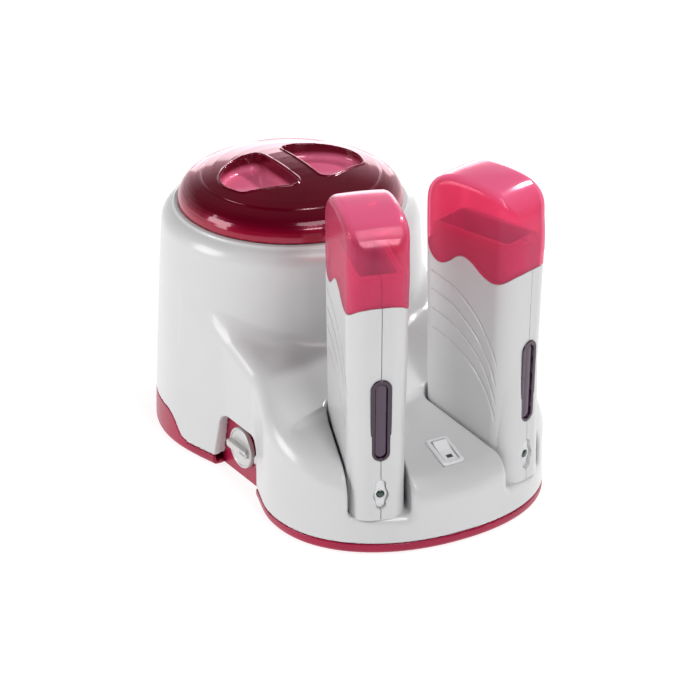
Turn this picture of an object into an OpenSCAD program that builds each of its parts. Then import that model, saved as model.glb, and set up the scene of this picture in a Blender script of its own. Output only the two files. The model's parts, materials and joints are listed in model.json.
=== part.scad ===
// Roll-on wax heater station: a round wax pot heater with a lift-off lid, and a
// front apron that docks two cartridge heaters, each with a translucent cap.
// Millimetres. +Z up, front is -Y, origin at the middle of the footprint on the
// surface that the feet stand on.

/* [Station] */
// Radius of the pot housing at its foot
pot_r = 88.3; // [88:0.1:89]
// Radius of the pot housing below its shoulder
pot_r_top = 83.9; // [83:0.1:85]
// Height of the housing's top ring
pot_top_z = 153; // [152.5:0.1:153]
// Distance of the pot axis behind the origin
pot_y = 60.5; // [60:0.5:61]
// Half width of the front apron
apron_ax = 91.6; // [90:0.1:92]
// Half depth of the front apron
apron_ay = 73.4; // [73:0.1:74]
// Distance of the apron's centre in front of the origin
apron_y = 75.8; // [75.5:0.1:76]
// Squareness of the apron outline, where 2 is an ellipse
apron_n = 2.14; // [2.05:0.01:2.2]
// Half width of the waist between the pot and the apron
waist_x = 79; // [78.5:0.1:79.5]
// Slope of the apron's top, as height gained per millimetre towards the pot
apron_slope = 0.337; // [0.33:0.001:0.345]
// Height of the apron's top plane at the switch
apron_z = 52.5; // [52:0.1:53]
// Wall thickness of the station's shells
wall = 3; // [2.6:0.1:3]
// Height of the parting line between housing and tray
parting_z = 8; // [8:0.5:8]

/* [Wax pot] */
// Outer radius of the wax pot
wax_r = 62.5; // [60:0.5:62.5]
// Radius of the lid's rim
lid_r = 72; // [71:0.5:72]
// Height of the lid's crown
lid_top_z = 178.2; // [177.5:0.1:179]

/* [Handhelds] */
// Splay of each handheld, in degrees
splay = 17.8; // [17:0.1:18.5]
// Front seam of a handheld at its foot, sideways from the middle
seam_x = 52.2; // [51.8:0.1:52.6]
// Front seam of a handheld at its foot, in front of the origin
seam_y = 133.8; // [133.4:0.1:134]
// Height that the handhelds stand at
dock_z = 25.2; // [25:0.1:25.5]
// Distance from a handheld's dock axis forward to its front seam, at the foot
hh_f = 34.6; // [34.4:0.1:35]
// Distance from a handheld's dock axis back to its rear face, at the foot
hh_b = 31.1; // [31:0.1:31.5]
// Thickness of a handheld at its foot
hh_w = 35.8; // [35.6:0.1:36]
// Height of the body of a handheld at the front seam
hh_h = 144.5; // [144:0.5:145]
// Height of a handheld with its cap
hh_top = 198; // [197.5:0.5:198]

/* [Motion] */
// Turn that a thermostat knob has left from the position shown
knob_turn = 0; // [0:5:270]
// Tilt of the rocker, front end down
rocker_tilt = 7; // [7:0.5:7]

/* [Hidden] */
$fn = 64;
eps = 0.01;
f_draft = 0.0361;    // lean of the front face, forward per millimetre of height
b_draft = 0.0022;    // lean of the rear face
w_draft = 0.0252;    // thickness gained per millimetre of height, both faces
r_front = 14.5;      // front corners of a handheld, seen from above
r_back = 7;          // rear corners
neck_z = 161;        // rim of the neck inside a cap
neck_w = 34;         // thickness of the neck
neck_f = 37.6;       // neck, forward from the dock axis
neck_b = 28.9;       // neck, back from the dock axis
slot_w = 23.6;       // cartridge opening, across
slot_d = 55.2;       // cartridge opening, front to back
slot_y = -2;         // middle of the cartridge opening
cap_t = 1.9;         // cap wall
pin_y = [-9, 9];     // dock contacts, along the handheld's depth
knob_pos = [-73.5, -7, 24.2];
fuse_pos = [-73.5, -26.3, 21.6];
switch_y = -125;
apron_ang = atan(apron_slope);
foot_pos = [[-52, 112], [52, 112], [-58, -106], [58, -106], [0, 20]];
screw_pos = [[-38.9, 131.2], [38.9, 131.2], [-71, -66], [71, -66], [0, -139.5]];
cx = seam_x - sin(splay) * hh_f;
cy = -seam_y + cos(splay) * hh_f;

white = [0.93, 0.93, 0.94];
berry = [0.62, 0.12, 0.25];
wine = [0.45, 0.07, 0.18];
pink = [0.80, 0.30, 0.45];
steel = [0.75, 0.75, 0.76];
dark = [0.12, 0.11, 0.13];
brass = [0.80, 0.65, 0.30];

// ---------- shared curves ----------
function spow(v, p) = v < 0 ? -pow(-v, p) : pow(v, p);
function oval(a, b, n, steps = 72) = [for (i = [0:steps - 1])
  let (t = 360 * i / steps) [a * spow(cos(t), 2 / n), b * spow(sin(t), 2 / n)]];
function arc(c, r, a0, a1, k = 6) = [for (i = [0:k])
  let (t = a0 + (a1 - a0) * i / k) [c[0] + r * cos(t), c[1] + r * sin(t)]];
function plane_z(y) = apron_z + apron_slope * (y - switch_y);

// exact rounded rectangle for prisms: a cross and four discs
module xrect(w, d, r) {
  square([w - 2 * r, d], center = true);
  square([w, d - 2 * r], center = true);
  for (x = [-1, 1], y = [-1, 1])
    translate([x * (w / 2 - r), y * (d / 2 - r)]) circle(r, $fn = 32);
}

// ---------- station outlines ----------
module apron_outline(inset = 0) {
  translate([0, -apron_y]) polygon(oval(apron_ax - inset, apron_ay - inset, apron_n, 64));
}

module footprint(inset = 0) {
  offset(r = -10, $fn = 48) offset(r = 10 - inset, $fn = 48) {
    translate([0, pot_y]) circle(pot_r, $fn = 96);
    apron_outline();
    translate([-waist_x, -60]) square([2 * waist_x, 100]);
  }
}

// hollow of the apron and waist, joined to the inside of the pot housing
module hollow_outline(inset) {
  difference() {
    union() {
      apron_outline(inset);
      translate([-waist_x + inset, -60]) square([2 * (waist_x - inset), 90]);
    }
    difference() {
      translate([0, pot_y]) circle(120, $fn = 96);
      translate([0, pot_y]) circle(87, $fn = 96);
      translate([-200, -200]) square([400, 200 + pot_y - 36.5]);
    }
  }
}

// the space under the apron's sloping top plane, lowered by drop
module under_plane(drop = 0) {
  translate([0, switch_y, apron_z - drop]) rotate([apron_ang, 0, 0])
    translate([-150, -150, -200]) cube([300, 400, 200]);
}

// convex block with a rounded top edge, which follows the sloping top: rings of
// points, each ring set in and raised a little more than the last
function ring(pts, z0, drop) = [for (p = pts) [p[0], p[1], drop > 900 ? z0 : plane_z(p[1]) - drop]];
function edge_rings(r) = [[0, 1000], [0, r], [0.076 * r, 0.62 * r], [0.293 * r, 0.293 * r], [0.62 * r, 0.076 * r], [r, 0]];
function apron_ring(inset, steps) = [for (p = oval(apron_ax - inset, apron_ay - inset, apron_n, steps)) [p[0], p[1] - apron_y]];

module loft(rings) {
  n = len(rings[0]); m = len(rings);
  mid = function (ring) [for (k = [0:2]) let (v = [for (p = ring) p[k]]) (max(v) + min(v)) / 2];
  polyhedron(points = concat([for (g = rings) each g], [mid(rings[0]), mid(rings[m - 1])]),
    faces = concat(
      [for (k = [0:m - 2], i = [0:n - 1]) each
        [[k * n + i, (k + 1) * n + i, k * n + (i + 1) % n],
         [k * n + (i + 1) % n, (k + 1) * n + i, (k + 1) * n + (i + 1) % n]]],
      [for (i = [0:n - 1]) [m * n, i, (i + 1) % n]],
      [for (i = [0:n - 1]) [m * n + 1, (m - 1) * n + (i + 1) % n, (m - 1) * n + i]]));
}

module rounded_apron(r) {
  loft([for (e = edge_rings(r)) ring(apron_ring(e[0], 64), parting_z, e[1])]);
}

module rounded_waist(r) {
  loft([for (e = edge_rings(r)) let (x = waist_x - e[0])
    ring([[-x, -76 + e[0]], [x, -76 + e[0]], [x, 46 - e[0]], [-x, 46 - e[0]]], parting_z, e[1])]);
}

// outline of the raised rear part of the tray, seen from the side
module rear_band_profile(grow = 0) {
  polygon([[38, -5], [38, parting_z - 0.4 + grow], [44, parting_z + grow],
    [50, 9.8 + grow], [54, 12.9 + grow], [58, 17.2 + grow], [62, 20.4 + grow],
    [68, 22.4 + grow], [76, 23 + grow], [170, 23 + grow], [170, -5]]);
}

module rear_band_volume(grow = 0) {
  translate([-120, 0, 0]) rotate([90, 0, 90]) linear_extrude(240) rear_band_profile(grow);
}

// side opening for the controls, seen from the side (y, z)
module notch_profile(grow = 0, low = -5) {
  offset(delta = grow) polygon(concat([[20, low], [20, max(8, low + 1)]],
    arc([8, 33.5], 7, 20, 90, 4), arc([-22, 30.5], 10, 90, 180, 5), [[-32, low]]));
}

module notch_volume(grow, x0, x1, low = -5) {
  translate([x0, 0, 0]) rotate([90, 0, 90]) linear_extrude(x1 - x0) notch_profile(grow, low);
}

// ---------- station ----------
module pot_outside() {
  translate([0, pot_y, 0]) rotate_extrude($fn = 128)
    polygon(concat([[0, parting_z], [pot_r, parting_z], [87.7, 32], [86.6, 62], [85.4, 92],
      [pot_r_top, 125], [83.2, 134]],
      arc([72.2, 140.6], 11.2, 10, 62, 7), [[75.4, 152.4], [73.6, pot_top_z], [70.8, pot_top_z], [0, pot_top_z]]));
}

module pot_inside() {
  translate([0, pot_y, 0]) rotate_extrude($fn = 128) {
    polygon([[0, -1], [pot_r - wall, -1], [pot_r - wall, parting_z], [84.7, 32], [83.6, 62], [82.4, 92],
      [80.9, 125], [80.2, 134], [77, 143], [72, 146], [67.6, 146], [0, 146]]);
    translate([0, 145]) square([67.6, 20]);
    translate([0, 148.4]) square([70.6, 20]);
  }
}

// pocket for one handheld: it follows the handheld's taper and opens to the front
module dock_pocket(grow = 0) {
  z0 = -grow; z1 = 90;
  w0 = hh_w + 2.6 + 2 * grow; w1 = hh_w + w_draft * z1 + 3 + 2 * grow;
  b0 = hh_b + 2 + grow; b1 = hh_b + b_draft * z1 + 2.4 + grow;
  hull() {
    translate([0, 0, z0]) linear_extrude(eps) pocket_shape(w0, b0, 60);
    translate([0, 0, z1]) linear_extrude(eps) pocket_shape(w1, b1, 60);
  }
}

module pocket_shape(w, back, front) {
  r = r_back + 1.4;
  translate([-w / 2, -front]) square([w, front + back - r]);
  for (s = [-1, 1]) translate([s * (w / 2 - r), back - r]) circle(r, $fn = 32);
}

// puts a part drawn in the handheld's own frame (front -Y, foot at z = 0) in its dock
module docked(side) {
  if (side < 0) mirror([1, 0, 0]) translate([cx, cy, dock_z]) rotate([0, 0, splay]) children();
  else translate([cx, cy, dock_z]) rotate([0, 0, splay]) children();
}

module main_housing() color(white) difference() {
  union() {
    difference() {
      union() {
        pot_outside();
        rounded_apron(13);
        rounded_waist(13);
      }
      pot_inside();
      // hollow inside of the apron, with the pocket walls left standing in it
      difference() {
        union() {
          intersection() {
            translate([0, 0, -1]) linear_extrude(130) hollow_outline(wall);
            under_plane(13);
          }
          intersection() {
            translate([0, 0, -1]) linear_extrude(130) hollow_outline(10);
            under_plane(wall + 1);
          }
        }
        docked(1) dock_pocket(2.4);
        docked(-1) dock_pocket(2.4);
      }
      docked(1) dock_pocket(0);
      docked(-1) dock_pocket(0);
      notch_volume(0, -120, -70);
      rear_band_volume(0);
      translate([0, 0, -20]) linear_extrude(28) square(400, center = true);
    }
    // jambs around the control recess
    difference() {
      notch_volume(2.2, -78, -73.5, 10.2);
      notch_volume(0, -120, -70);
    }
    // screw bosses that hang down to the tray
    for (p = screw_pos) translate([p[0], p[1], 8.05])
      cylinder(r = 4, h = p[1] > 0 ? 28 : plane_z(p[1]) - 10, $fn = 32);
    for (s = [-1, 1]) translate([s * 39.8, 132.9, 23.4]) cylinder(r = 4, h = 12.65, $fn = 32);
  }
  for (p = screw_pos) translate([p[0], p[1], 5]) cylinder(r = 1.25, h = 12, $fn = 32);
  // window for the switch
  translate([0, switch_y, apron_z]) rotate([apron_ang, 0, 0]) translate([-6.8, -10.6, -20]) cube([13.6, 21.2, 30]);
  // windows for the dock contact blocks
  for (s = [-1, 1]) docked(s) translate([-6, -15, -10]) cube([12, 30, 12]);
}

module base_tray() color(berry) difference() {
  union() {
    difference() {
      union() {
        translate([0, 0, 1.2]) linear_extrude(1.6) footprint(4);
        translate([0, 0, 2.6]) linear_extrude(2) footprint(1.4);
        translate([0, 0, 4.2]) linear_extrude(parting_z - 4.2) footprint(0);
      }
      // inside of the tray
      translate([0, 0, 4.2]) linear_extrude(parting_z) footprint(3.2);
    }
    // raised rear wall
    intersection() {
      translate([0, pot_y, 5.5]) difference() {
        cylinder(r1 = pot_r - 0.2, r2 = 87.75, h = 24, $fn = 128);
        translate([0, 0, -1]) cylinder(r = 84.9, h = 26, $fn = 128);
      }
      rear_band_volume(0);
    }
    // standoffs under the housing's screw bosses
    for (p = screw_pos) translate([p[0], p[1], 3]) cylinder(r = 4, h = 5, $fn = 32);
  }
  // recess under the control panel
  notch_volume(0.2, -120, -73.6);
  notch_volume(2.6, -73.7, -70.9);
  for (p = foot_pos) translate([p[0], p[1], 0]) cylinder(r = 7.1, h = 2.2, $fn = 48);
  for (p = screw_pos) translate([p[0], p[1], 0]) {
    cylinder(r = 1.7, h = 10, $fn = 32);
    cylinder(r = 3.2, h = 2.6, $fn = 32);
  }
  // opening for the mains inlet
  translate([-11.2, 135, 6.8]) cube([22.4, 20, 13.4]);
  translate([-13.6, 147.3, 4.8]) cube([27.2, 10, 17.4]);
  // vent slots
  for (i = [-3:3]) translate([i * 9 - 1.5, 52, 0]) cube([3, 34, 6]);
}

module rubber_feet() color(dark) for (p = foot_pos) translate([p[0], p[1], 0])
  rotate_extrude($fn = 48) polygon([[0, 0], [5.6, 0], [6.6, 1], [7, 2.2], [0, 2.2]]);

module base_screws() color(steel) for (p = screw_pos) translate([p[0], p[1], 0]) {
  translate([0, 0, 1.5]) difference() {
    cylinder(r = 2.9, h = 1.05, $fn = 32);
    translate([-2.4, -0.35, -1]) cube([4.8, 0.7, 1.5]);
    translate([-0.35, -2.4, -1]) cube([0.7, 4.8, 1.5]);
  }
  translate([0, 0, 2.5]) cylinder(r = 1.24, h = 12, $fn = 32);
}

module control_panel() color(berry) difference() {
  notch_volume(2.0, -73.5, -71, 3.5);
  translate([-80, knob_pos[1], knob_pos[2]]) rotate([0, 90, 0]) cylinder(r = 3.05, h = 20, $fn = 48);
  translate([-80, fuse_pos[1], fuse_pos[2]]) rotate([0, 90, 0]) cylinder(r = 4.6, h = 20, $fn = 48);
}

module thermostat_body() color(dark) difference() {
  union() {
    translate([-70.9, knob_pos[1], knob_pos[2]]) rotate([0, 90, 0]) cylinder(r = 5, h = 6, $fn = 48);
    translate([-66, knob_pos[1] - 13, knob_pos[2] - 11]) cube([14, 24, 22]);
    for (i = [-1, 0, 1]) translate([-52.1, knob_pos[1] - 1.5 + i * 7, knob_pos[2] - 3]) cube([6, 1, 6]);
  }
  translate([-80, knob_pos[1], knob_pos[2]]) rotate([0, 90, 0]) cylinder(r = 3.05, h = 23, $fn = 48);
}

module thermostat_shaft() color(steel) translate([-76.5, knob_pos[1], knob_pos[2]]) rotate([0, 90, 0])
  cylinder(r = 2.98, h = 18, $fn = 48);

// knob drawn with its axis along +Z and its back at z = 0
module knob_shape() {
  difference() {
    rotate_extrude($fn = 96) polygon([[0, 0], [12.9, 0], [13.4, 0.5], [13.4, 2.4], [12.9, 2.9],
      [11, 3.1], [0, 3.1]]);
    translate([0, 0, -1]) cylinder(r = 3, h = 3, $fn = 48);
  }
  difference() {
    union() {
      translate([0, 0, 3]) linear_extrude(3.4) xrect(21, 5.6, 2.6);
      translate([0, 0, 3]) cylinder(r = 5.6, h = 1.6, $fn = 48);
    }
    translate([4.4, -1.1, 5.4]) cube([5, 2.2, 2]);
  }
}

module thermostat_knob() color(steel) translate([-74.6, knob_pos[1], knob_pos[2]])
  rotate([knob_turn, 0, 0]) rotate([0, -90, 0]) rotate([0, 0, 90]) knob_shape();

module fuse_holder() color(dark) difference() {
  union() {
    translate([-70.9, fuse_pos[1], fuse_pos[2]]) rotate([0, 90, 0]) cylinder(r = 6.4, h = 3, $fn = 48);
    translate([-73.4, fuse_pos[1], fuse_pos[2]]) rotate([0, 90, 0]) cylinder(r = 4.5, h = 26, $fn = 48);
    translate([-47.5, fuse_pos[1] - 0.4, fuse_pos[2] - 2]) cube([6, 0.8, 4]);
  }
  translate([-80, fuse_pos[1], fuse_pos[2]]) rotate([0, 90, 0]) cylinder(r = 3.55, h = 30, $fn = 48);
}

module fuse_cap() color(steel) translate([-73.8, fuse_pos[1], fuse_pos[2]]) rotate([0, -90, 0]) {
  difference() {
    rotate_extrude($fn = 64) polygon([[0, 0], [5, 0], [5, 1.8], [4.4, 2.6], [0, 2.6]]);
    translate([-3.4, -0.5, 1.6]) cube([6.8, 1, 2]);
  }
  translate([0, 0, -20]) cylinder(r = 3.5, h = 20.1, $fn = 48);
}

module heater_well() color(steel) translate([0, pot_y, 0]) rotate_extrude($fn = 128)
  polygon([[0, 36], [60, 36], [66.4, 41], [66.4, 149.9], [70.2, 149.9], [70.2, 151.1],
    [65, 151.1], [65, 42], [59.4, 37.4], [0, 37.4]]);

module well_gasket() color([0.85, 0.3, 0.2]) translate([0, pot_y, 148.4]) rotate_extrude($fn = 128)
  translate([67.8, 0]) square([2.5, 1.5]);

module heater_band() color([0.7, 0.66, 0.55]) translate([0, pot_y, 0]) difference() {
  translate([0, 0, 52]) cylinder(r = 68.2, h = 58, $fn = 128);
  translate([0, 0, 51]) cylinder(r = 66.5, h = 60, $fn = 128);
  translate([-2, 50, 50]) cube([4, 30, 64]);
}

module insulation_sleeve() color([0.9, 0.9, 0.82]) translate([0, pot_y, 0]) difference() {
  translate([0, 0, 46]) cylinder(r = 74, h = 90, $fn = 128);
  translate([0, 0, 45]) cylinder(r = 68.5, h = 92, $fn = 128);
}

module switch_frame() {
  translate([0, switch_y, apron_z]) rotate([apron_ang, 0, 0]) children();
}

module switch_bezel() color(white) switch_frame() difference() {
  union() {
    translate([0, 0, 0.02]) linear_extrude(1.2) xrect(16, 23.4, 1);
    translate([-6.6, -10.4, -6]) cube([13.2, 20.8, 6.1]);
  }
  translate([-5.7, -9.3, -10]) cube([11.4, 18.6, 20]);
}

module switch_body() color(dark) switch_frame() difference() {
  union() {
    translate([-5.6, -9.2, -19]) cube([11.2, 18.4, 13.6]);
    translate([-5.6, -9.2, -6]) cube([0.55, 18.4, 5]);
    translate([5.05, -9.2, -6]) cube([0.55, 18.4, 5]);
    for (y = [-6, 1]) translate([-2.2, y, -25.5]) cube([4.4, 0.8, 6.6]);
  }
  translate([-7, 0, -3.4]) rotate([0, 90, 0]) cylinder(r = 1.05, h = 14, $fn = 32);
}

module switch_rocker() color(white) switch_frame() translate([0, 0, -3.4]) {
  rotate([rocker_tilt, 0, 0]) difference() {
    translate([-4.9, 0, 0]) rotate([90, 0, 90]) linear_extrude(9.8)
      polygon([[-8.4, -0.6], [-8.6, 5.9], [-8.2, 6.3], [0, 4.6], [8.2, 6.3], [8.6, 5.9], [8.4, -0.6], [2, -1.6], [-2, -1.6]]);
    translate([-2, -7.2, 5.4]) cube([4, 2.4, 3]);
  }
  translate([-5.5, 0, 0]) rotate([0, 90, 0]) cylinder(r = 1, h = 11, $fn = 32);
}

module mains_inlet() color(dark) {
  difference() {
    union() {
      translate([-13.2, 147.4, 5]) cube([26.4, 1.8, 17]);
      translate([-11, 131, 7]) cube([22, 17, 13]);
    }
    translate([0, 0, 13.5]) rotate([-90, 0, 0]) {
      translate([0, 0, 134]) linear_extrude(20) {
        for (x = [-4.3, 4.3]) translate([x, 0]) circle(4.5, $fn = 48);
        square([8.6, 6.6], center = true);
      }
    }
  }
  for (x = [-4.3, 4.3]) translate([x, 125, 13.5]) rotate([-90, 0, 0]) cylinder(r = 1.2, h = 20, $fn = 32);
}

module power_board() color([0.15, 0.4, 0.25]) {
  translate([-40, 0, 9]) cube([80, 44, 1.6]);
  for (x = [-34, 34], y = [6, 38]) translate([x, y, 4.3]) cylinder(r = 3, h = 4.8, $fn = 32);
  translate([-30, 8, 10.5]) cube([28, 24, 16]);
  for (i = [0:2]) translate([8 + i * 11, 14, 10.5]) cylinder(r = 4, h = 12, $fn = 32);
  translate([-12, 36, 10.5]) cube([24, 8, 8]);
  translate([4, 24, 10.5]) cube([30, 3, 14]);
}

module mains_leads() color(dark) for (x = [-4.3, 4.3])
  translate([x, 44, 13.5]) rotate([-90, 0, 0]) cylinder(r = 1.6, h = 81, $fn = 32);

module heater_leads() color([0.7, 0.2, 0.15]) for (x = [-1, 1]) {
  translate([x * 68.2, 40, 0]) {
    translate([-x * 28.2, 0, 12.3]) rotate([0, x * 90, 0]) cylinder(r = 1.4, h = 28.2, $fn = 32);
    translate([0, 0, 12.3]) sphere(r = 1.4, $fn = 32);
    translate([0, 0, 12.3]) cylinder(r = 1.4, h = 33.7, $fn = 32);
  }
}

module dock_block() {
  difference() {
    union() {
      translate([-5.8, -14.8, -10]) cube([11.6, 29.6, 9.6]);
      translate([-8, -18, -10]) cube([16, 36, 7.3]);
    }
    for (y = pin_y) translate([0, y, -12]) cylinder(r = 2, h = 14, $fn = 32);
  }
}

module dock_pins() {
  for (y = pin_y) translate([0, y, -14]) {
    cylinder(r = 2, h = 16.5, $fn = 32);
    translate([0, 0, 16.5]) cylinder(r1 = 2, r2 = 1.2, h = 1, $fn = 32);
  }
}

module left_dock_block() color(dark) docked(-1) dock_block();
module right_dock_block() color(dark) docked(1) dock_block();
module left_dock_pins() color(brass) docked(-1) dock_pins();
module right_dock_pins() color(brass) docked(1) dock_pins();

// ---------- wax pot and lid ----------
module wax_pot() color(steel) translate([0, pot_y, 0]) rotate_extrude($fn = 128)
  polygon([[0, 38.4], [57, 38.4], [wax_r, 44], [wax_r, 151.4], [69.6, 151.4], [69.6, 152.6],
    [wax_r - 1.3, 152.6], [wax_r - 1.3, 44.6], [56.5, 39.7], [0, 39.7]]);

// half moon finger pocket, centred beside the lid's bar
module scoop_shape(grow = 0) {
  offset(r = 7 + grow, $fn = 48) polygon(concat([[14, -21], [14, 22]],
    [for (t = [64:-12:-8]) [42 * cos(t) + 0.5, 26 * sin(t) - 1]], [[40, -11]]));
}

module pot_lid() color(wine) translate([0, pot_y, 0]) difference() {
  union() {
    difference() {
      rotate_extrude($fn = 128) polygon(concat([[0, 152.8], [68.6, 152.8], [69.4, 153.4], [lid_r, 153.4],
        [lid_r, 155.2]], arc([57.5, 154.6], 14.5, 12, 66, 6), [[60.4, 169.2], [57.4, 170.2], [57.2, 171.2],
        [50, lid_top_z - 5.4], [40, lid_top_z - 3.4], [30, lid_top_z - 1.9], [20, lid_top_z - 0.8],
        [10, lid_top_z - 0.2], [0, lid_top_z]]));
      rotate_extrude($fn = 128) polygon([[0, 150], [66.4, 150], [66.4, 155], [65.6, 160], [60.5, 165.2],
        [55, 168.4], [48, 170.6], [36, 173], [24, 174.8], [0, lid_top_z - 2.6]]);
    }
    // ring that centres the lid in the wax pot
    difference() {
      translate([0, 0, 149.5]) cylinder(r = 60.6, h = 17.5, $fn = 128);
      translate([0, 0, 145]) cylinder(r = 58.8, h = 30, $fn = 128);
    }
    for (a = [0, 1]) mirror([a, 0, 0]) translate([0, 0, 163.5]) linear_extrude(14) scoop_shape(1.6);
  }
  for (a = [0, 1]) mirror([a, 0, 0]) translate([0, 0, 165.2]) linear_extrude(20) scoop_shape(0);
  // nothing stands above the dome around the pockets
  rotate_extrude($fn = 128) polygon([[57.2, 171.3], [50, lid_top_z - 5.4], [40, lid_top_z - 3.4], [30, lid_top_z - 1.9],
    [20, lid_top_z - 0.8], [10, lid_top_z - 0.2], [0, lid_top_z], [0, 190], [57.2, 190]]);
}

// ---------- handheld, in its own frame ----------
function fy(h) = hh_f + f_draft * min(h, 160);
function by(h) = hh_b + b_draft * min(h, 160);
function hw(h) = hh_w + w_draft * min(h, 160);

// section of the body: width w, front at y = -f, back at y = b, corner radii
module plan(w, f, b, rf = r_front, rb = r_back) {
  translate([-w / 2, rf - f]) square([w, f + b - rf - rb]);
  translate([rf - w / 2, -f]) square([w - 2 * rf, 2 * rf]);
  translate([rb - w / 2, b - 2 * rb]) square([w - 2 * rb, 2 * rb]);
  for (s = [-1, 1]) {
    translate([s * (w / 2 - rf), rf - f]) circle(rf, $fn = 40);
    translate([s * (w / 2 - rb), b - rb]) circle(rb, $fn = 32);
  }
}
module body_plan(h, t = 0, in = 0) plan(hw(h) - 2 * t, fy(h) - t, by(h) - t, max(2, r_front - t - in), max(1, r_back - t - in));

// outer body with a rounded foot, up to the top of the neck
module body_hull(inset = 0, z0 = 0, z1 = 175) {
  hull() {
    translate([0, 0, z0]) linear_extrude(eps) body_plan(z0, inset + 2.5, -1);
    translate([0, 0, z0 + 0.8]) linear_extrude(eps) body_plan(z0, inset + 0.8);
    translate([0, 0, z0 + 2.6]) linear_extrude(eps) body_plan(z0 + 2.6, inset);
    translate([0, 0, z1 - eps]) linear_extrude(eps) body_plan(z1, inset);
  }
}

// edge of the cap, seen from the side: height over depth (front is negative)
wave_key = [[-60, 144.5], [-40.5, 144.5], [-36, 141], [-30, 136.8], [-24, 136.2], [-18, 137.8], [-12, 141],
  [-6, 145.4], [0, 147.2], [5, 145.2], [10, 140.8], [16, 137.8], [21, 138.6], [27, 145.5], [34, 151], [60, 153]];

module wave_volume(lift = 0, x = 30) {
  translate([-x, 0, 0]) rotate([90, 0, 90]) linear_extrude(2 * x)
    polygon(concat([for (p = wave_key) [p[0], p[1] + lift]], [[60, 240], [-60, 240]]));
}

module stadium(w, l, t) {
  linear_extrude(t) {
    square([w, l - w], center = true);
    for (s = [-1, 1]) translate([0, s * (l - w) / 2]) circle(w / 2, $fn = 48);
  }
}

// places a shape drawn flat (x right, y up, z out) on the drafted front face at height h
module on_front(h, depth = 0) {
  translate([0, -fy(h), h]) rotate([90 + atan(f_draft), 0, 0]) translate([0, 0, -depth]) children();
}

module shell_half(side) {
  difference() {
    intersection() {
      difference() {
        body_hull(0);
        // hollow body and neck, with the screw bosses and the collar of the opening left in
        difference() {
          union() {
            body_hull(2, 2.2, 132);
            translate([0, 0, 131]) linear_extrude(neck_z - 2.5 - 131) plan(neck_w - 4, neck_f - 2, neck_b - 2, 10.5, 4);
          }
          for (h = [30, 118]) translate([-16, hh_b - 2.9, h]) rotate([0, 90, 0]) cylinder(r = 2.3, h = 32, $fn = 32);
          translate([0, slot_y, 137]) linear_extrude(40) xrect(slot_w + 3.2, slot_d + 3.2, 3.8);
        }
        translate([0, slot_y, 130]) linear_extrude(50) xrect(slot_w, slot_d, 2.2);
        difference() {
          wave_volume(0);
          linear_extrude(neck_z) plan(neck_w, neck_f, neck_b, 12.5, 6);
        }
        translate([-40, -60, neck_z]) cube([80, 120, 40]);
      }
      translate([side > 0 ? 0.02 : -60.02, -60, -1]) cube([60, 120, 200]);
    }
    on_front(66.7, 4) stadium(11, 54, 10);
    on_front(16.5, 4) cylinder(r = 2.65, h = 10, $fn = 48);
    on_front(16.8, 1.3) stadium(7.1, 20.1, 5);
    translate([-6.6, -15.6, -1]) cube([13.2, 31.2, 5]);
    for (h = [30, 118]) translate([-14.6, hh_b - 2.9, h]) rotate([0, 90, 0])
      cylinder(r = 1.3, h = 29.2, $fn = 32);
  }
}

module window_bezel() on_front(66.7, 0) difference() {
  union() {
    translate([0, 0, -2.2]) stadium(10.9, 53.9, 2.3);
    translate([0, 0, 0.03]) stadium(13.4, 56.4, 0.8);
  }
  translate([0, 0, -4]) stadium(7.6, 50.6, 10);
}

module window_lens() on_front(66.7, 0) translate([0, 0, -2]) stadium(7.5, 50.5, 2.3);

module lamp_insert() on_front(16.8, 1.25) difference() {
  stadium(7, 20, 1.2);
  translate([0, -0.3, -1]) cylinder(r = 2.65, h = 5, $fn = 48);
}

module lamp_lens() on_front(16.5, 4.5) {
  cylinder(r = 2.5, h = 3.6, $fn = 48);
  translate([0, 0, 3.5]) rotate_extrude($fn = 48) polygon([[0, 0], [2.5, 0], [2.2, 1], [1.2, 1.7], [0, 1.9]]);
}

module heating_sleeve() difference() {
  translate([0, slot_y - 1.2, 20]) linear_extrude(116) xrect(26.4, 56.4, 4);
  translate([0, slot_y - 1.2, 22]) linear_extrude(120) xrect(24.2, 54.2, 3);
  translate([-4, -40, 42]) cube([8, 18, 48]);
}

module heater_element() translate([13.25, -25, 62]) cube([1.1, 44, 56]);

module contact_plate() difference() {
  translate([-6.5, -15.5, 0.9]) cube([13, 31, 4]);
  for (y = pin_y) translate([0, y, -1]) cylinder(r = 2.6, h = 7, $fn = 32);
}

module shell_screws() for (h = [30, 118]) translate([0, hh_b - 2.9, h]) rotate([0, 90, 0]) {
  translate([0, 0, -12.6]) cylinder(r = 1.25, h = 24, $fn = 32);
  translate([0, 0, -13]) cylinder(r = 1.28, h = 1, $fn = 32);
}

// layers of the cap's dome: height, width lost, front, back, corner radii, and
// how far the surface there faces up
dome_key = [[170, 0, 40.1, 31.5, 14.5, 7, 0.05], [177, 0.2, 39.1, 31.3, 14, 7.5, 0.2],
  [183, 0.6, 36.8, 30.2, 13.5, 8.5, 0.45], [188, 1.2, 33.2, 27.9, 13, 9, 0.65],
  [192, 2.2, 29.2, 24.5, 12.5, 9.5, 0.8], [195, 4.6, 23.4, 19.2, 11, 9.5, 0.92],
  [197, 9, 15, 12.5, 8, 8, 0.98], [hh_top - eps, 20, 5, 5, 4, 4, 1]];

// dome of the cap: side arch, front arch and plan outline together
module cap_dome(t = 0) {
  hull() {
    translate([0, 0, 120]) linear_extrude(eps) body_plan(120, t);
    translate([0, 0, 160]) linear_extrude(eps) body_plan(160, t);
    for (k = dome_key) let (g = t * sqrt(1 - k[6] * k[6])) translate([0, 0, k[0] - t * k[6]])
      linear_extrude(eps) plan(hw(160) - k[1] - 2 * g, k[2] - g, k[3] - g, k[4] - g, k[5] - g);
  }
}

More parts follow.
